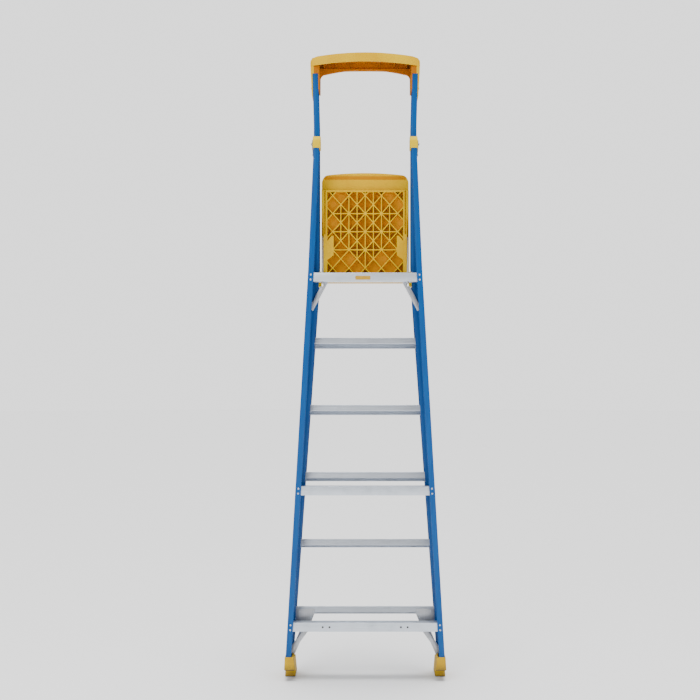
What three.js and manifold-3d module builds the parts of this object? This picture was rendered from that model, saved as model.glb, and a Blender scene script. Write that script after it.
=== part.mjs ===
// Fibreglass platform step ladder, folded shut and standing upright on its front feet.
// Five treads and a fold-up platform, a guard rail above it, and a shorter rear frame.
//
// Millimetres, +Z up. The climbing side faces -Y, the rear frame is on +Y, +X is to the right
// of someone about to climb. Everything is drawn with Y = 0 at the middle of the front rails'
// depth, and the whole ladder is shifted at the end to stand centred on the origin.

import * as THREE from 'three';
import { mergeVertices } from 'three/addons/utils/BufferGeometryUtils.js';
import Module from 'manifold-3d';

const wasm = await Module();
wasm.setup();

// ---------------------------------------------------------------- driving dimensions

const GAP = 0.3;                    // air left between pieces that touch

// how far each frame leans when the ladder stands open, in degrees
const FRONT_LEAN = 18;
const REAR_LEAN = 17;
const FOLD = FRONT_LEAN + REAR_LEAN;
const PLATFORM_SWING = 90 - FRONT_LEAN;

// channel rails: web outboard, flanges pointing inwards
const RAIL_FLANGE = 24;
const RAIL_WALL = 4;
const FRONT_DEPTH = 88;
const REAR_DEPTH = 60;
const FRAME_SPACE = 8;              // air between the two frames when folded
const REAR_Y = FRONT_DEPTH / 2 + FRAME_SPACE + REAR_DEPTH / 2;

// outer face of the right-hand front rail, as half-width and height, from the top down
const FRONT_HALF = 222.3;
const FRONT_SPLAY = 0.0705;
const FRONT_BEND_Z = 1722;
const FRONT_BEND_REACH = 60;
const FRONT_BOTTOM_Z = 7;
const FRONT_TOP_Z = 2636;
const frontSplayed = (z) => FRONT_HALF + FRONT_SPLAY * (FRONT_BEND_Z - z);
const FRONT_PATH = [
  [FRONT_HALF + 6.5, FRONT_TOP_Z],
  [FRONT_HALF + 3.9, 2512],
  [FRONT_HALF, 2380],
  [FRONT_HALF, FRONT_BEND_Z + FRONT_BEND_REACH],
  [frontSplayed(FRONT_BEND_Z - FRONT_BEND_REACH), FRONT_BEND_Z - FRONT_BEND_REACH],
  [frontSplayed(FRONT_BOTTOM_Z), FRONT_BOTTOM_Z],
];

// outer face of the right-hand rear rail
const HINGE_Z = 2293;
const REAR_HALF = 221.3;
const REAR_BRACE_HALF = 243.2;
const REAR_SPLAY = 0.0581;
const REAR_BEND_Z = 1750;
const REAR_BOTTOM_Z = 52;
const REAR_PATH = [
  [REAR_HALF, HINGE_Z + 8],
  [REAR_HALF, HINGE_Z - 58],
  [REAR_BRACE_HALF, REAR_BEND_Z],
  [REAR_BRACE_HALF + REAR_SPLAY * (REAR_BEND_Z - REAR_BOTTOM_Z), REAR_BOTTOM_Z],
];

// treads
const STEP_COUNT = 5;
const STEP_PITCH = 291.2;
const STEP_BOTTOM_Z = 301.6;        // rear top edge of the lowest tread
const STEP_REAR_Y = 27.4;
const STEP_TREAD = 70;
const STEP_SKIRT = 27;
const STEP_WALL = 2.5;

// rear frame's cross braces, by the height of their top edge
const BRACE_TOPS = { top: 1740, middle: 829, bottom: 248 };
const BRACE_HEIGHT = 38;
const BRACE_DEPTH = 40;
const BRACE_WALL = 2.5;
const BRACE_REAR_Y = REAR_Y + REAR_DEPTH / 2 - RAIL_WALL - GAP;

// platform, folded up: its walking face looks forwards and its ribbed face backwards
const PIVOT = { y: 12, z: 1720 };
const PLATFORM_HALF = 189;
const PLATFORM_TOP_Z = 2180;
const PLATFORM_DEPTH = 36;
const PLATFORM_SKIN = 4;
const PLATFORM_WALL = 4;
const PLATFORM_HUB = 16;
const PLATFORM_CORNER = 30;
const SADDLE_THICKNESS = 12;        // platform thickness where it sits on the top brace
const SADDLE_MARGIN = 5;            // room in the saddle before and behind the brace
const LIP_SLOPE = 37;               // the saddle's far wall, in degrees from the platform's thickness
const POCKET_BOTTOM_Z = 1742;
const POCKET_SIDE = 15;             // width of the solid strip at each side, which holds the link's slot

// diamond ribs under the platform: spacing of the diamonds' corners, and where the top row lies
const DIAMOND_WIDTH = 70.5;
const DIAMOND_HEIGHT = 78.6;
const DIAMOND_TOP_Z = 2083;
const RIB_THICKNESS = 4.4;

// link bars that pull the platform level, one in a slot at each side of the platform
const LINK_X = 184;
const LINK_THICKNESS = 4;
const LINK_WIDTH = 16;
const LINK_FOOT = { y: 28, z: 1706 };
const LINK_HEAD_Y = 16;
const LUG_THICKNESS = 3;
const LUG_RADIUS = 8.5;
const SLOT_HALF = 3.4;

// hinge at the top of the rear frame
const HINGE = { y: REAR_Y, z: HINGE_Z };
const CAP_RADIUS = 33;
const CAP_INNER_X = 190.8;
const CAP_OUTER_X = 223.6;
const HINGE_PLATE = 3.6;

// rubber boots
const BOOT_WALL = 3.2;
const FRONT_BOOT_HEIGHT = 72;
const REAR_BOOT_BOTTOM = 45;
const REAR_BOOT_HEIGHT = 58;

// top handrail moulding
const HANDRAIL_TOP_Z = 2686;
const HANDRAIL_HALF = 237;
const HANDRAIL_WALL = 4;
const HANDRAIL_LEG_Z = 2513;         // lower end of the outer skirts
const HANDRAIL_COVER_Z = 2540;       // lower end of the inner legs and the front cover
const HANDRAIL_COLLAR_Z = 2608;      // lower edge of the collar behind each rail
const HANDRAIL_FRONT_Y = -58;
const HANDRAIL_REAR_Y = 85;

// ---------------------------------------------------------------- finishes

const finish = (color, roughness, metalness) => () =>
  new THREE.MeshStandardMaterial({ color, roughness, metalness });
const blueFibreglass = finish(0x1a6cb0, 0.45, 0);
const yellowPlastic = finish(0xe3b51c, 0.5, 0);
const yellowRubber = finish(0xd0a317, 0.7, 0);
const aluminium = finish(0xc3c8d0, 0.4, 0.9);
const zincSteel = finish(0x8d9299, 0.4, 0.9);
const darkPlastic = finish(0x2a2d31, 0.6, 0);
const plainLabel = finish(0xd9b23a, 0.6, 0);

// ---------------------------------------------------------------- solids and booleans

function toSolid(geometry) {
  const bare = geometry.clone();
  bare.deleteAttribute('normal');
  bare.deleteAttribute('uv');
  const merged = mergeVertices(bare, 1e-4);
  return new wasm.Manifold(new wasm.Mesh({
    numProp: 3,
    vertProperties: new Float32Array(merged.attributes.position.array),
    triVerts: new Uint32Array(merged.index.array),
  }));
}

function toGeometry(solid) {
  const mesh = solid.getMesh();
  const geometry = new THREE.BufferGeometry();
  geometry.setAttribute('position', new THREE.BufferAttribute(mesh.vertProperties, 3));
  geometry.setIndex(new THREE.BufferAttribute(mesh.triVerts, 1));
  return geometry;
}

const cut = (solid, ...tools) => tools.reduce((rest, tool) => rest.subtract(tool), solid);
const join = (solid, ...others) => others.reduce((whole, other) => whole.add(other), solid);

function outline(points) {
  return new THREE.Shape(points.map(([u, v]) => new THREE.Vector2(u, v)));
}

const extrusion = (points, depth) =>
  new THREE.ExtrudeGeometry(outline(points), { depth, bevelEnabled: false, steps: 1 });

// X-Z outline, filled from y0 to y1
function slab(points, y0, y1) {
  const geometry = extrusion(points, y1 - y0);
  geometry.rotateX(Math.PI / 2);
  geometry.translate(0, y1, 0);
  return toSolid(geometry);
}

// Y-Z outline, filled from x0 to x1
function plate(points, x0, x1) {
  const geometry = extrusion(points, x1 - x0);
  const turn = new THREE.Matrix4().makeBasis(
    new THREE.Vector3(0, 1, 0), new THREE.Vector3(0, 0, 1), new THREE.Vector3(1, 0, 0));
  geometry.applyMatrix4(turn);
  geometry.translate(x0, 0, 0);
  return toSolid(geometry);
}

// X-Y outline, filled from z0 to z1
function layer(points, z0, z1) {
  const geometry = extrusion(points, z1 - z0);
  geometry.translate(0, 0, z0);
  return toSolid(geometry);
}

function block(x0, x1, y0, y1, z0, z1) {
  const geometry = new THREE.BoxGeometry(x1 - x0, y1 - y0, z1 - z0);
  geometry.translate((x0 + x1) / 2, (y0 + y1) / 2, (z0 + z1) / 2);
  return toSolid(geometry);
}

// a round or six-sided bar along X
function crossBar(radius, x0, x1, { y, z }, sides = 16) {
  const geometry = new THREE.CylinderGeometry(radius, radius, x1 - x0, sides);
  geometry.rotateZ(Math.PI / 2);
  geometry.translate((x0 + x1) / 2, y, z);
  return toSolid(geometry);
}

// a round bar along Y
function throughBar(radius, y0, y1, x, z) {
  const geometry = new THREE.CylinderGeometry(radius, radius, y1 - y0, 16);
  geometry.translate(x, (y0 + y1) / 2, z);
  return toSolid(geometry);
}

// points of an arc in degrees, ends included
function arc(centreU, centreV, radius, from, to, segments) {
  return Array.from({ length: segments + 1 }, (_, i) => {
    const angle = THREE.MathUtils.degToRad(from + (to - from) * i / segments);
    return [centreU + radius * Math.cos(angle), centreV + radius * Math.sin(angle)];
  });
}

// ---------------------------------------------------------------- the assembly

const ladder = new THREE.Group();

function place(name, solid, material) {
  const mesh = new THREE.Mesh(toGeometry(solid), material());
  mesh.name = name;
  ladder.add(mesh);
}

function mirrored(solid) {
  const geometry = toGeometry(solid);
  geometry.scale(-1, 1, 1);
  const corners = geometry.index.array;
  for (let i = 0; i < corners.length; i += 3) {
    [corners[i], corners[i + 1]] = [corners[i + 1], corners[i]];
  }
  return toSolid(geometry);
}

// a piece drawn on the right, and its mirror image on the left
function placePair(name, solid, material) {
  place(`${name}_right`, solid, material);
  place(`${name}_left`, mirrored(solid), material);
}

// ---------------------------------------------------------------- rails

function halfWidthAt(path, z) {
  for (let i = 0; i + 1 < path.length; i += 1) {
    const [upper, upperZ] = path[i];
    const [lower, lowerZ] = path[i + 1];
    if (z >= lowerZ || i + 2 === path.length) {
      return lower + (upper - lower) * (z - lowerZ) / (upperZ - lowerZ);
    }
  }
  return path[0][0];
}

// the strip between two lines parallel to a rail's outer face, made longer at each end by `extra`
function railStrip(path, outerInset, innerInset, extra = 0) {
  const stretched = path.map(([half, z]) => [half, z]);
  stretched[0][1] += extra;
  stretched[stretched.length - 1][1] -= extra;
  const outer = stretched.map(([half, z]) => [half - outerInset, z]);
  const inner = stretched.map(([half, z]) => [half - innerInset, z]);
  return [...outer, ...inner.reverse()];
}

function channelRail(path, middleY, depth) {
  const y0 = middleY - depth / 2;
  const y1 = middleY + depth / 2;
  const bar = slab(railStrip(path, 0, RAIL_FLANGE), y0, y1);
  const hollow = slab(railStrip(path, RAIL_WALL, RAIL_FLANGE + 5, 10), y0 + RAIL_WALL, y1 - RAIL_WALL);
  return cut(bar, hollow);
}

const HINGE_FIXINGS = [{ y: -8, z: HINGE_Z + 26 }, { y: -8, z: HINGE_Z - 26 }];
const HANDRAIL_FIXING = { y: 0, z: 2556 };
const boltHole = (radius, at) => crossBar(radius, 150, 260, at);

function addRails() {
  const frontRail = cut(
    channelRail(FRONT_PATH, 0, FRONT_DEPTH),
    ...HINGE_FIXINGS.map((at) => boltHole(4.4, at)),
    boltHole(6.4, PIVOT),
    boltHole(3.4, HANDRAIL_FIXING));
  placePair('front_rail', frontRail, blueFibreglass);

  const rearRail = cut(channelRail(REAR_PATH, REAR_Y, REAR_DEPTH), boltHole(5.4, HINGE));
  placePair('rear_rail', rearRail, blueFibreglass);
}

// ---------------------------------------------------------------- treads

// inverted U section, its tread tilted so that it is level once the front frame leans
function stepProfile(rearTopZ) {
  const lean = THREE.MathUtils.degToRad(FRONT_LEAN);
  const point = (along, down) => [
    STEP_REAR_Y - along * Math.cos(lean) + down * Math.sin(lean),
    rearTopZ - along * Math.sin(lean) - down * Math.cos(lean),
  ];
  const w = STEP_WALL;
  return [
    point(0, 0), point(STEP_TREAD, 0), point(STEP_TREAD, STEP_SKIRT), point(STEP_TREAD - w, STEP_SKIRT),
    point(STEP_TREAD - w, w), point(w, w), point(w, STEP_SKIRT), point(0, STEP_SKIRT),
  ];
}

function addSteps() {
  for (let i = 0; i < STEP_COUNT; i += 1) {
    const rearTopZ = STEP_BOTTOM_Z + STEP_PITCH * i;
    const reach = halfWidthAt(FRONT_PATH, rearTopZ) - RAIL_WALL - 2 * GAP;
    place(`step_${i + 1}`, plate(stepProfile(rearTopZ).reverse(), -reach, reach), aluminium);
  }
}

// ---------------------------------------------------------------- braces and diagonals

function bracePoints(topZ) {
  const y1 = BRACE_REAR_Y;
  const y0 = y1 - BRACE_DEPTH;
  const z0 = topZ - BRACE_HEIGHT;
  const w = BRACE_WALL;
  return [[y0, z0], [y1, z0], [y1, topZ], [y0, topZ],
    [y0, topZ - w], [y1 - w, topZ - w], [y1 - w, z0 + w], [y0, z0 + w]];
}

function addBraces() {
  for (const [level, topZ] of Object.entries(BRACE_TOPS)) {
    const reach = halfWidthAt(REAR_PATH, topZ) - RAIL_WALL - 2 * GAP;
    let brace = plate(bracePoints(topZ), -reach, reach);
    if (level === 'bottom') {
      const holes = [-181, -152, 152, 181].map((x) =>
        throughBar(4.5, BRACE_REAR_Y - 10, BRACE_REAR_Y + 10, x, topZ - BRACE_HEIGHT / 2));
      brace = cut(brace, ...holes);
    }
    if (level === 'top') {
      // slots in both flanges, where the link bars swing past
      const slots = [-1, 1].map((side) => block(side * LINK_X - SLOT_HALF, side * LINK_X + SLOT_HALF,
        BRACE_REAR_Y - BRACE_DEPTH - 5, BRACE_REAR_Y - BRACE_WALL, topZ - BRACE_HEIGHT - 5, topZ + 5));
      brace = cut(brace, ...slots);
    }
    place(`rear_brace_${level}`, brace, aluminium);
  }
}

const DIAGONAL_WIDTH = 20;
const DIAGONAL_WALL = 2.5;

// angle-section bar from one X-Z point to another, its face at faceY and its leg forward of that
function diagonal([x0, z0], [x1, z1], faceY, legDepth) {
  const length = Math.hypot(x1 - x0, z1 - z0);
  const side = [(z1 - z0) / length, -(x1 - x0) / length];
  const strip = (from, to) => [
    [x0 + side[0] * from, z0 + side[1] * from], [x1 + side[0] * from, z1 + side[1] * from],
    [x1 + side[0] * to, z1 + side[1] * to], [x0 + side[0] * to, z0 + side[1] * to],
  ];
  const half = DIAGONAL_WIDTH / 2;
  const face = slab(strip(-half, half), faceY - DIAGONAL_WALL, faceY);
  const leg = slab(strip(half - DIAGONAL_WALL, half), faceY - legDepth, faceY);
  return join(face, leg);
}

const GUSSET_Y = 36;

function addDiagonals() {
  const braceFrontY = BRACE_REAR_Y - BRACE_DEPTH - 2 * GAP;
  // the upper diagonal's corner is clipped where the link bar swings past
  const clip = block(LINK_X - SLOT_HALF, LINK_X + 20, braceFrontY - 20, braceFrontY + 5, 1686, 1720);
  placePair('upper_diagonal',
    cut(diagonal([170, 1706], [234, 1584], braceFrontY, 10), clip), aluminium);
  placePair('rear_diagonal', diagonal([232, 238], [324, 112], braceFrontY, 10), aluminium);
  placePair('front_diagonal', diagonal([242, 268], [322, 80], GUSSET_Y - GAP, 14), aluminium);

  const gusset = slab([[220, 292], [300, 292], [300, 237], [233, 237], [220, 270]],
    GUSSET_Y, GUSSET_Y + 2.5);
  placePair('step_gusset', gusset, aluminium);
}

// ---------------------------------------------------------------- boots

function boot(path, middleY, depth, bottomZ, height, flareIn) {
  const rim = halfWidthAt(path, bottomZ + height);
  const sole = halfWidthAt(path, bottomZ);
  const y0 = middleY - depth / 2 - BOOT_WALL;
  const y1 = middleY + depth / 2 + BOOT_WALL;
  const body = slab([
    [sole + BOOT_WALL, bottomZ],
    [rim + BOOT_WALL, bottomZ + height],
    [rim - RAIL_FLANGE - 8, bottomZ + height],
    [sole - RAIL_FLANGE - flareIn, bottomZ + 6],
    [sole - RAIL_FLANGE - flareIn + 3, bottomZ],
  ].reverse(), y0, y1);
  const socket = slab(railStrip(path, -GAP, RAIL_FLANGE + GAP, GAP),
    middleY - depth / 2 - GAP, middleY + depth / 2 + GAP);
  return cut(body, socket);
}

function addBoots() {
  placePair('front_boot',
    boot(FRONT_PATH, 0, FRONT_DEPTH, 0, FRONT_BOOT_HEIGHT, 19), yellowRubber);
  placePair('rear_boot',
    boot(REAR_PATH, REAR_Y, REAR_DEPTH, REAR_BOOT_BOTTOM, REAR_BOOT_HEIGHT, 19), yellowRubber);
}

// ---------------------------------------------------------------- hinge

const PLATE_INNER_X = CAP_OUTER_X + GAP;
const PLATE_OUTER_X = PLATE_INNER_X + HINGE_PLATE;

// a bolt along X: shank, round head on the outside, and a nut given by its two faces
function bolt(shank, head, headX, tailX, at, nutInnerX, nutOuterX) {
  return join(
    crossBar(shank, tailX, headX, at, 12),
    crossBar(head, headX - 0.01, headX + shank, at, 12),
    crossBar(head, nutInnerX, nutOuterX, at, 6));
}

function addHinge() {
  const { y, z } = HINGE;
  const bottom = z - 22;
  const capOutline = [
    [y - CAP_RADIUS, bottom], [y + CAP_RADIUS, bottom],
    ...arc(y, z, CAP_RADIUS, 0, 180, 16),
  ];
  const socket = block(REAR_HALF - RAIL_FLANGE - GAP, REAR_HALF + GAP,
    y - REAR_DEPTH / 2 - GAP, y + REAR_DEPTH / 2 + GAP, bottom - 10, HINGE_Z + 8 + GAP);
  const capHole = crossBar(5.4, REAR_HALF - 2, 260, HINGE);
  placePair('hinge_cap', cut(plate(capOutline, CAP_INNER_X, CAP_OUTER_X), socket, capHole), yellowPlastic);

  const drilled = (solid) => cut(solid, ...HINGE_FIXINGS.map((at) => boltHole(4.4, at)));
  const plateOutline = [
    [-26, z - 40], [12, z - 40], ...arc(y, z, 17, -70, 100, 10), [12, z + 40], [-26, z + 40]];
  placePair('hinge_plate',
    cut(drilled(plate(plateOutline, PLATE_INNER_X, PLATE_OUTER_X)), boltHole(5.4, HINGE)), zincSteel);
  const packerOutline = [
    [-26, z - 40], [12, z - 40], [40, z - 28], [40, z + 28], [12, z + 40], [-26, z + 40]];
  placePair('hinge_packer',
    drilled(plate(packerOutline, FRONT_HALF + GAP, PLATE_INNER_X - GAP)), darkPlastic);

  const headX = PLATE_OUTER_X + GAP;
  const rearNutX = REAR_HALF - RAIL_WALL - GAP;
  const frontNutX = FRONT_HALF - RAIL_WALL - GAP;
  placePair('hinge_bolt', bolt(5, 7.5, headX, rearNutX - 9, HINGE, rearNutX - 7, rearNutX), zincSteel);
  HINGE_FIXINGS.forEach((at, i) => {
    const name = `hinge_fixing_${i === 0 ? 'upper' : 'lower'}`;
    placePair(name, bolt(4, 7, headX, frontNutX - 7, at, frontNutX - 6, frontNutX), zincSteel);
  });
}

// ---------------------------------------------------------------- platform and its links

// turns a Y-Z point about another by degrees, from +Y towards +Z
function turned(point, centre, degrees) {
  const angle = THREE.MathUtils.degToRad(degrees);
  const dy = point.y - centre.y;
  const dz = point.z - centre.z;
  return {
    y: centre.y + dy * Math.cos(angle) - dz * Math.sin(angle),
    z: centre.z + dy * Math.sin(angle) + dz * Math.cos(angle),
  };
}

// a point of the rear frame when open, as the folded-up platform would see it
const openInPlatform = (point) => turned(turned(point, HINGE, FOLD), PIVOT, PLATFORM_SWING);

// the top brace's upper edges as they lie in the platform's saddle once the ladder is open
const braceRearEdge = openInPlatform({ y: BRACE_REAR_Y, z: BRACE_TOPS.top });
const braceFrontEdge = openInPlatform({ y: BRACE_REAR_Y - BRACE_DEPTH, z: BRACE_TOPS.top });
const SADDLE_Y = braceRearEdge.y - 2 * GAP;
const WALKING_Y = SADDLE_Y - SADDLE_THICKNESS;
const RIB_Y = WALKING_Y + PLATFORM_DEPTH;

// the link's upper pivot is as far from the lower one when folded as when open, so it lies on the
// perpendicular bisector of the lower pivot's two places as the platform sees them
function linkHead() {
  const open = openInPlatform(LINK_FOOT);
  const dy = open.y - LINK_FOOT.y;
  const dz = open.z - LINK_FOOT.z;
  const midY = (open.y + LINK_FOOT.y) / 2;
  const midZ = (open.z + LINK_FOOT.z) / 2;
  return { y: LINK_HEAD_Y, z: midZ - (LINK_HEAD_Y - midY) * dy / dz };
}
const LINK_HEAD = linkHead();
const LUG_X = LINK_X - LINK_THICKNESS / 2 - GAP - LUG_THICKNESS;

// diagonal ribs crossing in diamonds, with level and upright ribs through the middle ones
function latticeRibs(inner, rootY, topZ) {
  const reach = inner + 2;
  const slope = DIAMOND_HEIGHT / DIAMOND_WIDTH;
  const half = RIB_THICKNESS / 2;
  const rise = half * Math.hypot(1, slope);
  const ribs = [];
  const rows = Math.ceil((topZ - POCKET_BOTTOM_Z + 2 * reach * slope) / DIAMOND_HEIGHT / 2) + 1;
  for (let k = -rows - 2; k <= rows - 2; k += 1) {
    for (const lean of [slope, -slope]) {
      const z = DIAMOND_TOP_Z + k * DIAMOND_HEIGHT;
      ribs.push(slab([[-reach, z - lean * reach - rise], [reach, z + lean * reach - rise],
        [reach, z + lean * reach + rise], [-reach, z - lean * reach + rise]], rootY, RIB_Y));
    }
  }
  for (const row of [1, 2, 3]) {
    const z = DIAMOND_TOP_Z - row * DIAMOND_HEIGHT;
    ribs.push(block(-1.9 * DIAMOND_WIDTH, 1.9 * DIAMOND_WIDTH, rootY, RIB_Y, z - half, z + half));
  }
  for (const column of [-1, -0.5, 0, 0.5, 1]) {
    const x = column * DIAMOND_WIDTH;
    ribs.push(block(x - half, x + half, rootY, RIB_Y, DIAMOND_TOP_Z - 4 * DIAMOND_HEIGHT, DIAMOND_TOP_Z));
  }
  return join(...ribs);
}

function addPlatform() {
  const half = PLATFORM_HALF;
  const top = PLATFORM_TOP_Z;
  const bottom = PIVOT.z - PLATFORM_HUB;
  const corner = PLATFORM_CORNER;
  const shape = [
    [-half, bottom], [half, bottom],
    ...arc(half - corner, top - corner, corner, 0, 90, 6),
    ...arc(-half + corner, top - corner, corner, 90, 180, 6),
  ];
  const past = RIB_Y + 5;
  const saddleBottom = braceFrontEdge.z - SADDLE_MARGIN;
  const saddleTop = braceRearEdge.z + SADDLE_MARGIN;
  const inner = half - POCKET_SIDE - PLATFORM_WALL;
  const pocketY = WALKING_Y + PLATFORM_SKIN;
  const pocketTop = saddleBottom - PLATFORM_WALL;
  const pocket = block(-inner, inner, pocketY, past, POCKET_BOTTOM_Z, pocketTop);
  // the saddle's far wall slopes away from the back of the brace
  const wallSlope = Math.tan(THREE.MathUtils.degToRad(LIP_SLOPE));
  const saddle = plate([[SADDLE_Y, saddleBottom], [past, saddleBottom],
    [past, saddleTop + (past - SADDLE_Y) * wallSlope], [SADDLE_Y, saddleTop]], -half - 5, half + 5);
  // each slot's upper end slopes with the opened link, and its lower end is wide enough for the lug
  const footOpen = openInPlatform(LINK_FOOT);
  const linkSlope = (footOpen.z - LINK_HEAD.z) / (footOpen.y - LINK_HEAD.y);
  const clear = LINK_WIDTH / 2 + 1;
  const slotOutline = [[pocketY, bottom - 5], [past, bottom - 5],
    [past, LINK_HEAD.z + clear + (past - LINK_HEAD.y + clear) * linkSlope],
    [LINK_HEAD.y - clear, LINK_HEAD.z + clear], [pocketY, LINK_HEAD.z + clear]];
  const slots = [-1, 1].flatMap((side) => {
    const lugSide = side * (LUG_X - 3);
    const slotEdge = side * LINK_X;
    return [plate(slotOutline, side * LINK_X - SLOT_HALF, side * LINK_X + SLOT_HALF),
      block(Math.min(lugSide, slotEdge), Math.max(lugSide, slotEdge), PIVOT.y + 6, past, bottom - 5,
        LINK_FOOT.z + LUG_RADIUS + 4)];
  });
  const ribs = latticeRibs(inner, pocketY - 1, pocketTop)
    .intersect(block(-inner - 1, inner + 1, pocketY - 1, RIB_Y, POCKET_BOTTOM_Z - 1, pocketTop + 1));
  // pin holes, link bolt holes, and room in the ribs for the link bolts' nuts
  const holes = [-1, 1].flatMap((side) => {
    const bore = (radius, from, to, at) =>
      crossBar(radius, Math.min(side * from, side * to), Math.max(side * from, side * to), at);
    return [bore(6.4, 150, 200, PIVOT), bore(4.3, 160, 194, LINK_HEAD), bore(9, 160, inner, LINK_HEAD)];
  });
  place('platform', cut(join(cut(slab(shape.reverse(), WALKING_Y, RIB_Y), pocket, saddle), ribs),
    ...slots, ...holes), yellowPlastic);

  // pivot blocks in the front rails, and the pins that run from the rail's web into the platform
  const blockInner = PLATFORM_HALF + 1;
  const blockOuter = FRONT_HALF - RAIL_WALL - GAP;
  const inside = FRONT_DEPTH / 2 - RAIL_WALL - GAP;
  const pivotBlock = cut(block(blockInner, blockOuter, PIVOT.y - 22, inside, PIVOT.z - 32, PIVOT.z + 32),
    boltHole(6.4, PIVOT));
  placePair('platform_bracket', pivotBlock, yellowPlastic);
  const pinHeadX = halfWidthAt(FRONT_PATH, PIVOT.z - 12) + GAP;
  placePair('platform_pin', join(crossBar(6, 156, pinHeadX, PIVOT, 12),
    crossBar(10, pinHeadX - 0.01, pinHeadX + 5, PIVOT, 12)), zincSteel);
}

function linkBar() {
  const dy = LINK_FOOT.y - LINK_HEAD.y;
  const dz = LINK_FOOT.z - LINK_HEAD.z;
  const heading = THREE.MathUtils.radToDeg(Math.atan2(dz, dy));
  const points = [
    ...arc(LINK_HEAD.y, LINK_HEAD.z, LINK_WIDTH / 2, heading + 90, heading + 270, 8),
    ...arc(LINK_FOOT.y, LINK_FOOT.z, LINK_WIDTH / 2, heading - 90, heading + 90, 8),
  ];
  const half = LINK_THICKNESS / 2;
  return cut(plate(points, LINK_X - half, LINK_X + half),
    boltHole(4.3, LINK_HEAD), boltHole(4.3, LINK_FOOT));
}

function addLinks() {
  const face = LINK_THICKNESS / 2 + GAP;
  placePair('link', linkBar(), aluminium);
  // the upper bolt runs from the link through the platform's side wall
  placePair('link_upper_bolt', join(
    crossBar(4, 164, LINK_X + face, LINK_HEAD, 12),
    crossBar(7, 165, 169, LINK_HEAD, 6)), zincSteel);
  // the lower rivet stays with the link, and stops just short of the lug that it would pass through
  placePair('link_lower_bolt', join(
    crossBar(4, LINK_X - face + GAP, LINK_X + face, LINK_FOOT, 12),
    crossBar(6, LINK_X + face - 0.01, LINK_X + face + 0.8, LINK_FOOT, 12)), zincSteel);
  const lugRoot = BRACE_REAR_Y - BRACE_DEPTH - GAP;
  const lug = plate([
    [lugRoot, BRACE_TOPS.top - 9], ...arc(LINK_FOOT.y, LINK_FOOT.z, LUG_RADIUS, 100, 265, 10),
    [lugRoot, BRACE_TOPS.top - 23],
  ], LUG_X, LUG_X + LUG_THICKNESS);
  placePair('link_lug', lug, zincSteel);
  placePair('link_lug_nut', crossBar(6, LUG_X - GAP - 2, LUG_X - GAP, LINK_FOOT, 6), zincSteel);
}

// ---------------------------------------------------------------- top handrail

const crown = (x) => HANDRAIL_TOP_Z - 9 * (x / 205) ** 2;
const rimBottom = (x) => HANDRAIL_TOP_Z - 38 - 8 * (x / 205) ** 2;
const archBottom = (x) => HANDRAIL_TOP_Z - 35 - 22 * (x / 180) ** 2;
const bow = (x) => HANDRAIL_REAR_Y - 24 * (x / 205) ** 2;

const samples = (from, to, count) =>
  Array.from({ length: count + 1 }, (_, i) => from + (to - from) * i / count);

function handrailElevation(inset) {
  const end = HANDRAIL_HALF - inset;
  const shoulder = 205;
  const topEdge = samples(shoulder, -shoulder, 12).map((x) => [x, crown(x) - inset]);
  const low = rimBottom(HANDRAIL_HALF) - (inset > 0 ? 60 : 4);
  return [[-end, low], [end, low], [end, crown(shoulder) - 20 - inset / 2],
    [end - 8, crown(shoulder) - 7 - inset], ...topEdge,
    [-end + 8, crown(shoulder) - 7 - inset], [-end, crown(shoulder) - 20 - inset / 2]];
}

function handrailPlan(inset) {
  const end = HANDRAIL_HALF - inset;
  const shoulder = 212;
  const rear = samples(shoulder, -shoulder, 12).map((x) => [x, bow(x) - inset]);
  const front = HANDRAIL_FRONT_Y + inset;
  return [[-end + 10, front], [end - 10, front], [end, front + 12], [end, bow(shoulder) - 14],
    [end - 8, bow(shoulder) - 4 - inset], ...rear,
    [-end + 8, bow(shoulder) - 4 - inset], [-end, bow(shoulder) - 14], [-end, front + 12]];
}

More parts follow.
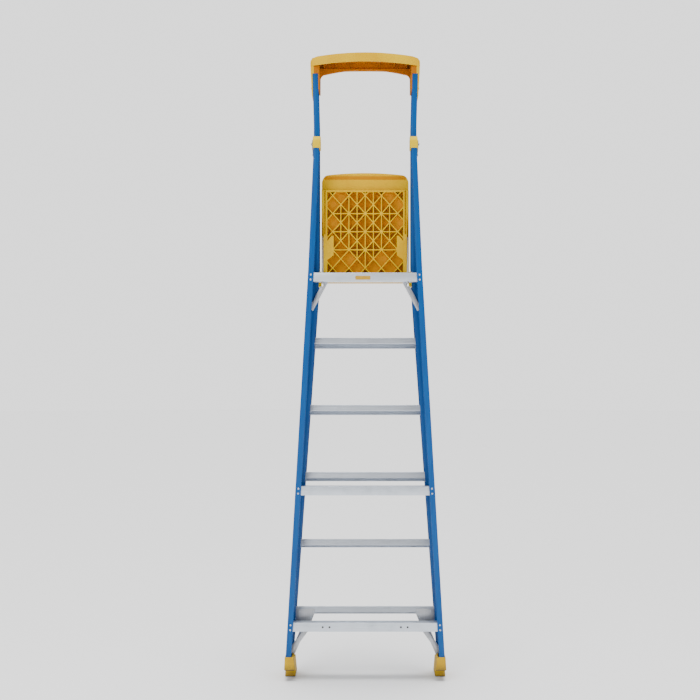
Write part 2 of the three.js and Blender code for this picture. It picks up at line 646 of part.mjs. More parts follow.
function addHandrail() {
  const reach = 120;
  const outside = slab(handrailElevation(0), -reach, reach)
    .intersect(layer(handrailPlan(0), HANDRAIL_TOP_Z - 90, HANDRAIL_TOP_Z + 10));
  const inside = slab(handrailElevation(HANDRAIL_WALL), -reach, reach)
    .intersect(layer(handrailPlan(HANDRAIL_WALL), HANDRAIL_TOP_Z - 120, HANDRAIL_TOP_Z + 10));
  // the rim's lower edge follows the crown
  const end = HANDRAIL_HALF + 10;
  const under = slab([[-end, 2500], [end, 2500], ...samples(end, -end, 16).map((x) => [x, rimBottom(x)])],
    -reach, reach);

  // side skirts that grip each rail, and a front cover with an arched opening between the legs
  const skirtOuter = (z) => halfWidthAt(FRONT_PATH, z) + GAP;
  const low = HANDRAIL_LEG_Z;
  const coverLow = HANDRAIL_COVER_Z;
  const high = HANDRAIL_TOP_Z - 30;
  const skirtY = FRONT_DEPTH / 2 + 2;
  const leg = (side) => {
    const flip = (points) => (side > 0 ? points : points.map(([x, z]) => [-x, z]).reverse());
    const outer = slab(flip([[skirtOuter(low), low], [skirtOuter(low) + 4, low],
      [HANDRAIL_HALF - 0.5, high - 26], [HANDRAIL_HALF - 0.5, high], [skirtOuter(high), high]]),
      -skirtY, skirtY);
    const innerTop = skirtOuter(high) - RAIL_FLANGE - 2 * GAP;
    const innerLow = skirtOuter(coverLow) - RAIL_FLANGE - 2 * GAP;
    const inner = slab(flip([[innerLow - 5, coverLow], [innerLow, coverLow], [innerTop, high + 8],
      [innerTop - 6, high + 8]]), -skirtY, skirtY);
    const collar = slab(flip([[innerTop - 5.5, HANDRAIL_COLLAR_Z], [HANDRAIL_HALF - 1, HANDRAIL_COLLAR_Z],
      [HANDRAIL_HALF - 1, high + 8], [innerTop - 5.5, high + 8]]),
      FRONT_DEPTH / 2 + GAP, FRONT_DEPTH / 2 + 4);
    return [outer, inner, collar];
  };
  const coverFront = HANDRAIL_FRONT_Y + 8;
  const archHalf = halfWidthAt(FRONT_PATH, coverLow) - RAIL_FLANGE - 6;
  const archRadius = 22;
  const archTop = samples(archHalf - archRadius, -archHalf + archRadius, 12).map((x) => [x, archBottom(x)]);
  const archEndZ = archBottom(archHalf - archRadius);
  const cover = slab([[-archHalf, coverLow], [-archHalf - 20, coverLow], [-HANDRAIL_HALF + 4, high - 20],
    [-HANDRAIL_HALF + 4, high], [HANDRAIL_HALF - 4, high], [HANDRAIL_HALF - 4, high - 20],
    [archHalf + 20, coverLow], [archHalf, coverLow],
    ...arc(archHalf - archRadius, archEndZ - archRadius, archRadius, 0, 80, 5),
    ...archTop,
    ...arc(-archHalf + archRadius, archEndZ - archRadius, archRadius, 100, 180, 5),
  ], coverFront - 4, -FRONT_DEPTH / 2 - GAP);
  // the bolts go through the outer skirts and the rails' webs, with their nuts inside the channels
  const railFace = halfWidthAt(FRONT_PATH, HANDRAIL_FIXING.z);
  const shell = cut(outside, inside, under);
  const bores = [-1, 1].map((side) =>
    crossBar(3.4, side * HANDRAIL_HALF - 20, side * HANDRAIL_HALF + 20, HANDRAIL_FIXING));
  place('top_handrail', cut(join(shell, ...leg(1), ...leg(-1), cover), ...bores), yellowPlastic);

  // the skirts' outer faces slope, so the heads stand off their highest point
  const skirtFace = THREE.MathUtils.mapLinear(HANDRAIL_FIXING.z + 7, low, high - 26,
    skirtOuter(low) + 4, HANDRAIL_HALF - 0.5);
  const nutX = railFace - RAIL_WALL - GAP;
  placePair('handrail_bolt',
    bolt(3, 7, skirtFace + GAP, nutX - 6, HANDRAIL_FIXING, nutX - 5, nutX), zincSteel);
}

// ---------------------------------------------------------------- label

function addLabel() {
  place('brace_label',
    block(-22, 42, BRACE_REAR_Y + GAP, BRACE_REAR_Y + GAP + 0.8, 1710, 1726), plainLabel);
}

// ---------------------------------------------------------------- build, then stand it on the origin

addRails();
addSteps();
addBraces();
addDiagonals();
addBoots();
addHinge();
addPlatform();
addLinks();
addHandrail();
addLabel();

const box = new THREE.Box3().setFromObject(ladder);
const middle = box.getCenter(new THREE.Vector3());
ladder.position.set(-middle.x, -middle.y, -box.min.z);

export default ladder;
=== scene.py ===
import math

import bmesh
import bpy
from mathutils import Matrix, Vector


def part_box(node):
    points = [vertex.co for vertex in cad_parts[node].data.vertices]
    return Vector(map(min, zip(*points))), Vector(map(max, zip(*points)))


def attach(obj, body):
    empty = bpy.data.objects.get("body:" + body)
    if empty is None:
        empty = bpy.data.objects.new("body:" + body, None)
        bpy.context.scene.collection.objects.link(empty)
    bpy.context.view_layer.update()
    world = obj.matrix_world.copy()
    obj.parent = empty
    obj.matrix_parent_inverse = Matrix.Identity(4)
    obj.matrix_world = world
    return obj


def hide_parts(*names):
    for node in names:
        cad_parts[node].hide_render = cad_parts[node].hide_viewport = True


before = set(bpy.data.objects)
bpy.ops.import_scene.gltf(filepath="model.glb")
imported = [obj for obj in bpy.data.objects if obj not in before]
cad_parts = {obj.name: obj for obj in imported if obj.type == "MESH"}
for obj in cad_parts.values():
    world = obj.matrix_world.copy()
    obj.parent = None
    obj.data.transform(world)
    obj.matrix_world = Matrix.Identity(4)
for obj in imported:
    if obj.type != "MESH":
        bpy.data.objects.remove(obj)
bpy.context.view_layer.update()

MM = 0.001
SIDES = (("right", 1), ("left", -1))


def box_mm(node):
    low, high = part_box(node)
    return low / MM, high / MM


# ------------------------------------------------------------------ material recipes


class Recipe:
    """A material under construction: its nodes, its links and its shader."""

    def __init__(self, name, roughness=0.5, metallic=0.0, coat=0.0, specular=0.5):
        self.material = bpy.data.materials.new(name)
        self.material.use_nodes = True
        self.tree = self.material.node_tree
        self.shader = self.tree.nodes["Principled BSDF"]
        self.shader.inputs["Roughness"].default_value = roughness
        self.shader.inputs["Metallic"].default_value = metallic
        self.shader.inputs["Coat Weight"].default_value = coat
        self.shader.inputs["Specular IOR Level"].default_value = specular
        self.place = self.tree.nodes.new("ShaderNodeTexCoord").outputs["Object"]

    def link(self, source, target):
        self.tree.links.new(source, target)

    def stretched(self, x, y, z):
        node = self.tree.nodes.new("ShaderNodeMapping")
        node.inputs["Scale"].default_value = (x, y, z)
        self.link(self.place, node.inputs["Vector"])
        return node.outputs["Vector"]

    def noise(self, scale, detail=3.0, rough=0.5, vector=None):
        node = self.tree.nodes.new("ShaderNodeTexNoise")
        node.inputs["Scale"].default_value = scale
        node.inputs["Detail"].default_value = detail
        node.inputs["Roughness"].default_value = rough
        self.link(vector or self.place, node.inputs["Vector"])
        return node.outputs["Fac"]

    def cells(self, scale):
        node = self.tree.nodes.new("ShaderNodeTexVoronoi")
        node.inputs["Scale"].default_value = scale
        self.link(self.place, node.inputs["Vector"])
        return node.outputs["Color"]

    def height(self, low_z, high_z):
        """0 at one height and 1 at the other, in metres."""
        parts = self.tree.nodes.new("ShaderNodeSeparateXYZ")
        self.link(self.place, parts.inputs["Vector"])
        return self.spread(parts.outputs["Z"], low_z, high_z, 0.0, 1.0)

    def inside(self, half, near, far, low, high, fade, bow=0.0, crown=0.0):
        """1 in a hollow and 0 outside it, in metres: within `half` of the middle, from y = near to
        far, which bows towards the middle, and from z = low to high, which is crowned."""
        parts = self.tree.nodes.new("ShaderNodeSeparateXYZ")
        self.link(self.place, parts.inputs["Vector"])
        x, y, z = (parts.outputs[axis] for axis in "XYZ")
        squared = self.times(x, x)
        edge = 0.001
        mask = self.spread(squared, half * half, (half + edge) ** 2, 1.0, 0.0)
        for value, limit, before, after in (
                (y, near, 0.0, 1.0), (self.curved(y, squared, bow), far, 1.0, 0.0),
                (z, low, 0.0, 1.0), (self.curved(z, squared, crown), high, 1.0, 0.0)):
            width = fade if limit == far else edge
            mask = self.times(mask, self.spread(value, limit - width, limit, before, after))
        return mask

    def curved(self, value, squared, amount):
        node = self.tree.nodes.new("ShaderNodeMath")
        node.operation = "MULTIPLY_ADD"
        self.link(squared, node.inputs[0])
        node.inputs[1].default_value = amount
        self.link(value, node.inputs[2])
        return node.outputs["Value"]

    def spread(self, value, from_low, from_high, to_low, to_high):
        node = self.tree.nodes.new("ShaderNodeMapRange")
        for socket, number in zip(("From Min", "From Max", "To Min", "To Max"),
                                  (from_low, from_high, to_low, to_high)):
            node.inputs[socket].default_value = number
        self.link(value, node.inputs["Value"])
        return node.outputs["Result"]

    def times(self, a, b):
        node = self.tree.nodes.new("ShaderNodeMath")
        node.operation = "MULTIPLY"
        self.link(a, node.inputs[0])
        self.link(b, node.inputs[1])
        return node.outputs["Value"]

    def shade(self, value, *stops):
        node = self.tree.nodes.new("ShaderNodeValToRGB")
        ramp = node.color_ramp
        while len(ramp.elements) < len(stops):
            ramp.elements.new(0.5)
        for element, (at, colour) in zip(ramp.elements, stops):
            element.position = at
            element.color = (*colour, 1.0)
        self.link(value, node.inputs["Fac"])
        return node.outputs["Color"]

    def over(self, amount, under, top):
        """The plain colour `top` laid over the pattern `under` by an amount."""
        node = self.tree.nodes.new("ShaderNodeMix")
        node.data_type = "RGBA"
        self.link(amount, node.inputs["Factor"])
        self.link(under, node.inputs["A"])
        node.inputs["B"].default_value = (*top, 1.0)
        return node.outputs["Result"]

    def relief(self, value, strength, depth, below=None):
        node = self.tree.nodes.new("ShaderNodeBump")
        node.inputs["Strength"].default_value = strength
        node.inputs["Distance"].default_value = depth
        self.link(value, node.inputs["Height"])
        if below is not None:
            self.link(below, node.inputs["Normal"])
        return node.outputs["Normal"]

    def done(self, colour, roughness, normal):
        self.link(colour, self.shader.inputs["Base Color"])
        self.link(roughness, self.shader.inputs["Roughness"])
        self.link(normal, self.shader.inputs["Normal"])
        return self.material


def fibreglass():
    r = Recipe("blue_fibreglass", specular=0.25)
    fibres = r.noise(420, 4, 0.6, r.stretched(1, 1, 0.02))
    cloud = r.noise(5, 3)
    colour = r.shade(fibres, (0.25, (0.0, 0.056, 0.235)), (0.55, (0.001, 0.084, 0.31)),
                     (0.85, (0.004, 0.120, 0.39)))
    colour = r.over(r.spread(cloud, 0.35, 0.75, 0.0, 0.35), colour, (0.0, 0.046, 0.19))
    scuffs = r.spread(r.noise(60, 8, 0.75, r.stretched(1, 1, 0.25)), 0.66, 0.74, 0.0, 0.45)
    colour = r.over(scuffs, colour, (0.050, 0.190, 0.46))
    return r.done(colour, r.spread(cloud, 0.3, 0.7, 0.30, 0.46), r.relief(fibres, 0.12, 0.0004))


def moulding(name, bright, deep, dust, gloss=0.42, shaded_hollows=()):
    """Coloured plastic; the hollows given get painted shade, deeper in colour, each with its shade
    tint.
    """
    r = Recipe(name, specular=0.10)
    grain = r.noise(1500, 2)
    cloud = r.noise(9, 4)
    colour = r.shade(cloud, (0.3, deep), (0.62, bright))
    marks = r.spread(r.noise(95, 8, 0.7), 0.64, 0.76, 0.0, 0.5)
    colour = r.over(marks, colour, dust)
    # painted shade: each hollow's tint stands in for the shade that falls in it
    for limits, shade_tint in shaded_hollows:
        colour = r.over(r.inside(*limits), colour, shade_tint)
    normal = r.relief(grain, 0.18, 0.00015)
    normal = r.relief(r.noise(70, 3), 0.05, 0.0006, normal)
    return r.done(colour, r.spread(cloud, 0.3, 0.7, gloss, gloss + 0.14), normal)


def boot_rubber(name, floor_z):
    r = Recipe(name, specular=0.35)
    cloud = r.noise(30, 5)
    colour = r.shade(cloud, (0.3, (0.48, 0.27, 0.0)), (0.7, (0.62, 0.38, 0.001)))
    low = r.height(floor_z + 0.030, floor_z + 0.001)
    dirt = r.times(low, r.spread(r.noise(140, 6, 0.65), 0.30, 0.62, 0.1, 0.9))
    colour = r.over(dirt, colour, (0.085, 0.060, 0.022))
    normal = r.relief(r.noise(900, 2), 0.25, 0.0002)
    return r.done(colour, r.spread(cloud, 0.3, 0.7, 0.58, 0.78), normal)


def drawn_metal(name, colour_low, colour_high, along="x", rough=0.34, metallic=0.85, pitch=900):
    """Rolled or extruded metal, with fine lines along one axis."""
    r = Recipe(name, metallic=metallic)
    squeeze = {"x": (0.015, 1, 1), "z": (1, 1, 0.015), "none": (1, 1, 1)}[along]
    lines = r.noise(pitch, 3, 0.6, r.stretched(*squeeze))
    cloud = r.noise(14, 5, 0.6)
    colour = r.shade(lines, (0.25, colour_low), (0.75, colour_high))
    smears = r.spread(cloud, 0.52, 0.75, 0.0, 0.35)
    colour = r.over(smears, colour, tuple(0.72 * c for c in colour_low))
    normal = r.relief(lines, 0.10, 0.0002)
    return r.done(colour, r.spread(cloud, 0.3, 0.7, rough, rough + 0.16), normal)


def zinc():
    r = Recipe("zinc_plate", metallic=0.9)
    flakes = r.cells(420)
    colour = r.shade(flakes, (0.1, (0.30, 0.31, 0.32)), (0.9, (0.52, 0.53, 0.54)))
    cloud = r.noise(120, 4)
    colour = r.over(r.spread(cloud, 0.55, 0.75, 0.0, 0.6), colour, (0.20, 0.17, 0.13))
    return r.done(colour, r.spread(cloud, 0.3, 0.7, 0.28, 0.46), r.relief(cloud, 0.1, 0.0002))


def dark_moulding(name, low, high, rough=0.5):
    r = Recipe(name)
    grain = r.noise(1100, 2)
    cloud = r.noise(40, 4)
    colour = r.shade(cloud, (0.3, low), (0.7, high))
    normal = r.relief(grain, 0.2, 0.0002)
    return r.done(colour, r.spread(cloud, 0.3, 0.7, rough, rough + 0.2), normal)


def printed_film():
    r = Recipe("printed_film", coat=0.3)
    cloud = r.noise(60, 4)
    colour = r.shade(cloud, (0.3, (0.50, 0.27, 0.004)), (0.7, (0.60, 0.33, 0.008)))
    return r.done(colour, r.spread(cloud, 0.3, 0.7, 0.35, 0.5), r.relief(cloud, 0.08, 0.0002))


BRIGHT, DEEP, DUST = (0.80, 0.50, 0.0), (0.72, 0.40, 0.0), (0.62, 0.42, 0.02)
# painted shade: the deep orange of the handrail's shaded hollow underside and ceiling
PAINTED_SHADE_ORANGE = (0.44, 0.135, 0.0)
# half width, y from and to, z from and to, fade, bow and crown of each hollow with painted shade,
# then its shade tint
HANDRAIL_HOLLOW_SHADE = ((0.2215, -0.0815, 0.0545, 2.50, 2.66, 0.001, 0.571, 0.2142), PAINTED_SHADE_ORANGE)
HANDRAIL_CEILING_SHADE = ((0.204, -0.0845, 0.0545, 2.648, 2.6845, 0.001, 0.571, 0.2142), PAINTED_SHADE_ORANGE)
# painted shade in the platform's pockets, deepening towards their floors, and on the saddle's lip,
# which faces down
PLATFORM_POCKET_SHADE = ((0.168, -0.0285, 0.001, 1.70, 2.1015, 0.022), (0.70, 0.330, 0.0))
PLATFORM_LIP_SHADE = ((0.176, -0.0285, 0.001, 2.156, 2.1765, 0.006, 0.0, 0.3), (0.56, 0.235, 0.0))
FINISH = {
    "rail": fibreglass(),
    "handrail": moulding("handrail_yellow", BRIGHT, DEEP, DUST, 0.42,
                         [HANDRAIL_HOLLOW_SHADE, HANDRAIL_CEILING_SHADE]),
    "platform": moulding("platform_yellow", BRIGHT, DEEP, DUST, 0.46,
                         [PLATFORM_POCKET_SHADE, PLATFORM_LIP_SHADE]),
    "cap": moulding("cap_yellow", (0.80, 0.55, 0.0), (0.72, 0.46, 0.0), DUST, 0.40),
    "front_boot": boot_rubber("front_boot_rubber", 0.0),
    "rear_boot": boot_rubber("rear_boot_rubber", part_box("rear_boot_right")[0].z),
    "sole": dark_moulding("sole_rubber", (0.030, 0.024, 0.016), (0.075, 0.058, 0.034), 0.7),
    "tread": drawn_metal("tread_aluminium", (0.50, 0.54, 0.60), (0.70, 0.74, 0.80)),
    "brace": drawn_metal("brace_aluminium", (0.55, 0.60, 0.66), (0.74, 0.79, 0.86), "x", 0.38),
    "strut": drawn_metal("strut_aluminium", (0.42, 0.43, 0.45), (0.62, 0.63, 0.66), "z", 0.42),
    "link": drawn_metal("link_aluminium", (0.66, 0.68, 0.71), (0.82, 0.84, 0.87), "z", 0.30),
    "rivet": drawn_metal("rivet_aluminium", (0.46, 0.50, 0.55), (0.62, 0.66, 0.72), "none", 0.40),
    "dull_steel": drawn_metal("dull_steel", (0.16, 0.16, 0.17), (0.26, 0.26, 0.27), "none", 0.45),
    "zinc": zinc(),
    "dark": dark_moulding("spacer_plastic", (0.020, 0.021, 0.024), (0.035, 0.036, 0.040)),
    "label": printed_film(),
}

# ------------------------------------------------------------------ mesh tools


def keep(name, bm, body, finish, nodes=(), sharp=35):
    """Turns a finished bmesh, in millimetres, into a piece that rides on a body."""
    bmesh.ops.scale(bm, vec=(MM, MM, MM), verts=bm.verts)
    mesh = bpy.data.meshes.new(name)
    bm.to_mesh(mesh)
    bm.free()
    mesh.polygons.foreach_set("use_smooth", [True] * len(mesh.polygons))
    mesh.set_sharp_from_angle(angle=math.radians(sharp))
    mesh.materials.append(FINISH[finish])
    piece = bpy.data.objects.new(name, mesh)
    bpy.context.scene.collection.objects.link(piece)
    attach(piece, body)
    if nodes:
        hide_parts(*nodes)
    return piece


def merged_copy(node):
    """A CAD node's mesh in millimetres, with its loose triangles merged into flat faces."""
    bm = bmesh.new()
    bm.from_mesh(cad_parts[node].data)
    bmesh.ops.scale(bm, vec=(1 / MM,) * 3, verts=bm.verts)
    bmesh.ops.remove_doubles(bm, verts=bm.verts, dist=0.01)
    bmesh.ops.dissolve_limit(bm, angle_limit=math.radians(0.5), verts=bm.verts, edges=bm.edges)
    return bm


def round_edges(bm, width, segments=2, angle=30, wanted=None):
    edges = [e for e in bm.edges if len(e.link_faces) == 2
             and e.calc_face_angle(0.0) > math.radians(angle) and (wanted is None or wanted(e))]
    bmesh.ops.bevel(bm, geom=edges, offset=width, offset_type="OFFSET", segments=segments,
                    profile=0.5, affect="EDGES", clamp_overlap=True, material=-1)


def prism(points, axis, start, end):
    """A closed solid from an outline and a stretch of one axis. The outline's two numbers are
    (y, z) for axis x, (x, z) for axis y and (x, y) for axis z."""
    spot = {"x": lambda u, v: (start, u, v), "y": lambda u, v: (u, start, v),
            "z": lambda u, v: (u, v, start)}[axis]
    step = {"x": (end - start, 0, 0), "y": (0, end - start, 0), "z": (0, 0, end - start)}[axis]
    bm = bmesh.new()
    face = bm.faces.new([bm.verts.new(spot(u, v)) for u, v in points])
    made = bmesh.ops.extrude_face_region(bm, geom=[face], use_keep_orig=True)["geom"]
    bmesh.ops.translate(bm, vec=step, verts=[g for g in made if isinstance(g, bmesh.types.BMVert)])
    bmesh.ops.recalc_face_normals(bm, faces=bm.faces)
    return bm


def block(x0, x1, y0, y1, z0, z1):
    bm = bmesh.new()
    bmesh.ops.create_cube(bm, size=1.0)
    bmesh.ops.scale(bm, vec=(x1 - x0, y1 - y0, z1 - z0), verts=bm.verts)
    bmesh.ops.translate(bm, vec=((x0 + x1) / 2, (y0 + y1) / 2, (z0 + z1) / 2), verts=bm.verts)
    return bm


def gather(*parts):
    """Several bmeshes as one."""
    whole = bmesh.new()
    for part in parts:
        spare = bpy.data.meshes.new("spare")
        part.to_mesh(spare)
        part.free()
        whole.from_mesh(spare)
        bpy.data.meshes.remove(spare)
    return whole


def carve(bm, *cutters):
    """Cuts each closed cutter out of a closed bmesh."""
    spare = []
    for source in (bm, gather(*cutters)):
        mesh = bpy.data.meshes.new("spare")
        source.to_mesh(mesh)
        source.free()
        thing = bpy.data.objects.new("spare", mesh)
        bpy.context.scene.collection.objects.link(thing)
        spare.append(thing)
    cutting = spare[0].modifiers.new("cut", "BOOLEAN")
    cutting.operation, cutting.solver, cutting.object = "DIFFERENCE", "EXACT", spare[1]
    graph = bpy.context.evaluated_depsgraph_get()
    result = bmesh.new()
    result.from_object(spare[0], graph)
    for thing in spare:
        mesh = thing.data
        bpy.data.objects.remove(thing)
        bpy.data.meshes.remove(mesh)
    return result


def turned_bar(profile, y, z, steps=28):
    """A round piece along X from (x, radius) points, which start and end on the axis."""
    bm = bmesh.new()
    verts = [bm.verts.new((x, y, z + radius)) for x, radius in profile]
    edges = [bm.edges.new(pair) for pair in zip(verts, verts[1:])]
    bmesh.ops.spin(bm, geom=verts + edges, cent=(0, y, z), axis=(1, 0, 0), dvec=(0, 0, 0),
                   angle=math.tau, steps=steps, use_merge=True)
    bmesh.ops.remove_doubles(bm, verts=bm.verts, dist=0.005)
    bmesh.ops.recalc_face_normals(bm, faces=bm.faces)
    return bm


def dome(at, radius, height, facing):
    """A rivet head: a low dome on a short rim, its base at a point, facing along a vector."""
    bm = turned_bar([(-0.6, 0), (-0.6, radius), (0.35 * height, radius),
                     (0.75 * height, 0.72 * radius), (height, 0)], 0, 0, 16)
    turn = Vector((1, 0, 0)).rotation_difference(Vector(facing)).to_matrix().to_4x4()
    bm.transform(Matrix.Translation(Vector(at)) @ turn)
    return bm


def nut(x0, x1, radius, y, z):
    bm = bmesh.new()
    bmesh.ops.create_cone(bm, cap_ends=True, segments=6, radius1=radius, radius2=radius,
                          depth=x1 - x0)
    bm.transform(Matrix.Translation(((x0 + x1) / 2, y, z)) @ Matrix.Rotation(math.pi / 2, 4, "Y"))
    round_edges(bm, 0.7, 2)
    return bm


def mirrored(bm):
    bmesh.ops.scale(bm, vec=(-1, 1, 1), verts=bm.verts)
    bmesh.ops.reverse_faces(bm, faces=bm.faces)
    return bm


# ------------------------------------------------------------------ pieces softened from CAD

SOFTENED = [
    # node, rounding, segments, body, slot, finish
    ("front_rail", 1.8, 3, "front_frame", "rail_fibreglass", "rail"),
    ("rear_rail", 1.8, 3, "rear_frame", "rail_fibreglass", "rail"),
    ("front_diagonal", 0.8, 2, "front_frame", "brace_aluminium", "strut"),
    ("step_gusset", 0.7, 2, "front_frame", "brace_aluminium", "strut"),
    ("upper_diagonal", 0.8, 2, "rear_frame", "brace_aluminium", "strut"),
    ("rear_diagonal", 0.8, 2, "rear_frame", "brace_aluminium", "strut"),
    ("hinge_cap", 3.0, 4, "rear_frame", "cap_plastic", "cap"),
    ("hinge_plate", 0.9, 2, "front_frame", "zinc_steel", "dull_steel"),
    ("hinge_packer", 0.3, 2, "front_frame", "dark_plastic", "dark"),
    ("platform_bracket", 2.0, 3, "front_frame", "cap_plastic", "cap"),
    ("link", 0.8, 2, "links", "link_aluminium", "link"),
    ("link_lug", 0.6, 2, "rear_frame", "zinc_steel", "zinc"),
]


def softened_pieces():
    for stem, width, segments, body, slot, finish in SOFTENED:
        for side, _ in SIDES:
            node = f"{stem}_{side}"
            bm = merged_copy(node)
            round_edges(bm, width, segments)
            keep(f"{stem}_{side}_piece", bm, body, finish, [node])
    for level in ("top", "middle", "bottom"):
        node = f"rear_brace_{level}"
        bm = merged_copy(node)
        round_edges(bm, 1.2, 3, 30, lambda e: e.calc_length() > 6)
        keep(f"{node}_piece", bm, "rear_frame", "brace", [node])
    bm = merged_copy("brace_label")
    round_edges(bm, 3.0, 4, 30, lambda e: abs((e.verts[0].co - e.verts[1].co).y) > 0.5)
    keep("brace_label_piece", bm, "rear_frame", "label", ["brace_label"])


# ------------------------------------------------------------------ treads

TREAD_LEAN = 18
TREAD_DEPTH = 70
TREAD_SKIRT = 27
TREAD_WALL = 2.5


def tread_outline(rear_y, top_z):
    """Ribbed tread section with a grooved skirt front and rear, as (y, z) points."""
    lean = math.radians(TREAD_LEAN)
    depth, skirt, wall = TREAD_DEPTH, TREAD_SKIRT, TREAD_WALL
    along_down = [(0, 1.0), (0.4, 0.3), (1.2, 0)]
    first, pitch, gap, cut, groove_count = 4.6, 4.4, 1.5, 0.9, 14
    for i in range(groove_count):
        a = first + i * pitch
        along_down += [(a, 0), (a + 0.2, cut), (a + gap - 0.2, cut), (a + gap, 0)]
    along_down += [(depth - 1.6, 0), (depth - 0.5, 0.4), (depth, 1.4)]
    for a in (5.5, 9.5, 13.5):
        along_down += [(depth, a), (depth - 0.8, a + 0.2), (depth - 0.8, a + 1.3),
                       (depth, a + 1.5)]
    # the thickened foot of each skirt, first at the front and then, mirrored, at the rear
    foot = [(0, skirt - 0.8), (0.8, skirt), (3.6, skirt), (4.2, skirt - 0.8), (4.2, skirt - 3.4),
            (wall, skirt - 5), (wall, wall)]
    along_down += [(depth - a, d) for a, d in foot]
    along_down += foot[::-1]
    along_down += [(0, 8.2), (1.1, 7.9), (1.1, 6.4), (0, 6.1)]
    return [(rear_y - a * math.cos(lean) + d * math.sin(lean),
             top_z - a * math.sin(lean) - d * math.cos(lean)) for a, d in along_down]


TREAD_COUNT = 5


def treads():
    for i in range(1, TREAD_COUNT + 1):
        node = f"step_{i}"
        low, high = box_mm(node)
        # the lean puts the rear skirt's foot, not the tread's rear edge, at the box's limit
        rear_y = high.y - TREAD_SKIRT * math.sin(math.radians(TREAD_LEAN))
        bm = prism(tread_outline(rear_y, high.z), "x", low.x, high.x)
        keep(f"tread_{i}", bm, "front_frame", "tread", [node])


# ------------------------------------------------------------------ platform

DECK_LOW, DECK_HIGH = box_mm("platform")
DECK_SKIN = 3.9                     # plastic left under the pockets
DECK_CORNER, DECK_BOW = 30, 9       # corner radius, and how far the top edge rises to the middle
SADDLE_FLOOR = DECK_LOW.y + 12
SADDLE_LOW_Z, SADDLE_HIGH_Z = 2106.6, 2154.9
LIP_SLOPE = math.tan(math.radians(37))
LINK_X, SLOT_HALF = 184, 3.4
LINK_ROOM = 9                       # space kept round a link's head
LUG_ROOM_X, LUG_ROOM_TOP_Z = 175.7, 1718.5
SIDE_GROOVE_X, SIDE_GROOVE_Z, SIDE_GROOVE_DEPTH = (171, 178), (1915, 2103), 12
GRIP_COUNT, GRIP_LOW_Z, GRIP_PITCH = 34, 1738, 12.5
GRIP_HALF, GRIP_WIDTH, GRIP_DEPTH = 172, 3, 1.0
LINK_PANEL = ((165.8, 1802), (165.8, 1884), (146, 1908), (137, 1908), (137, 1823))
DIAMOND_WIDTH, DIAMOND_HEIGHT, DIAMOND_TOP_Z = 70.5, 78.6, 2083
LATTICE_HALF, LATTICE_LOW_Z, LATTICE_HIGH_Z = 166, 1744, 2100
RIB_HALF = 1.9
LINK_HEAD_Y, LINK_HEAD_Z = -12.6, 1897.9


def rib_lattice():
    """A tray as deep as the platform's hollow, its open face divided by diamond ribs."""
    mouth, floor_y = DECK_HIGH.y, DECK_LOW.y + DECK_SKIN
    bm = block(-LATTICE_HALF, LATTICE_HALF, floor_y, mouth, LATTICE_LOW_Z, LATTICE_HIGH_Z)

    def open_faces():
        return [f for f in bm.faces if f.calc_center_median().y > mouth - 0.01]

    def split(at, normal, wanted=lambda centre: True):
        faces = [f for f in open_faces() if wanted(f.calc_center_median())]
        around = {v for f in faces for v in f.verts} | {e for f in faces for e in f.edges}
        bmesh.ops.bisect_plane(bm, geom=faces + list(around), plane_co=at, plane_no=normal,
                               dist=0.01)

    slope = DIAMOND_HEIGHT / DIAMOND_WIDTH
    for k in range(-11, 6):
        for side in (1, -1):
            split((0, mouth, DIAMOND_TOP_Z + k * DIAMOND_HEIGHT), (side * slope, 0, 1))
    for row in (1, 2, 3):
        split((0, mouth, DIAMOND_TOP_Z - row * DIAMOND_HEIGHT), (0, 0, 1),
              lambda c: abs(c.x) < 1.9 * DIAMOND_WIDTH)
    for column in (-1.5, -1, -0.5, 0, 0.5, 1, 1.5):
        split((column * DIAMOND_WIDTH, mouth, 0), (1, 0, 0),
              lambda c: DIAMOND_TOP_Z - (4 - abs(column)) * DIAMOND_HEIGHT < c.z
              < DIAMOND_TOP_Z - (abs(column) - 1) * DIAMOND_HEIGHT)

    def breadth(face):
        return 2 * face.calc_area() / face.calc_perimeter()

    cells = [f for f in open_faces() if breadth(f) > RIB_HALF + 1.5]
    bmesh.ops.inset_individual(bm, faces=cells, thickness=RIB_HALF, use_even_offset=True)
    floors = bmesh.ops.extrude_discrete_faces(bm, faces=cells)["faces"]
    sink = Vector((0, floor_y + 0.4 - mouth, 0))
    for face in floors:
        centre = face.calc_center_median()
        for vert in face.verts:
            vert.co = centre + 0.94 * (vert.co - centre) + sink
    return bm


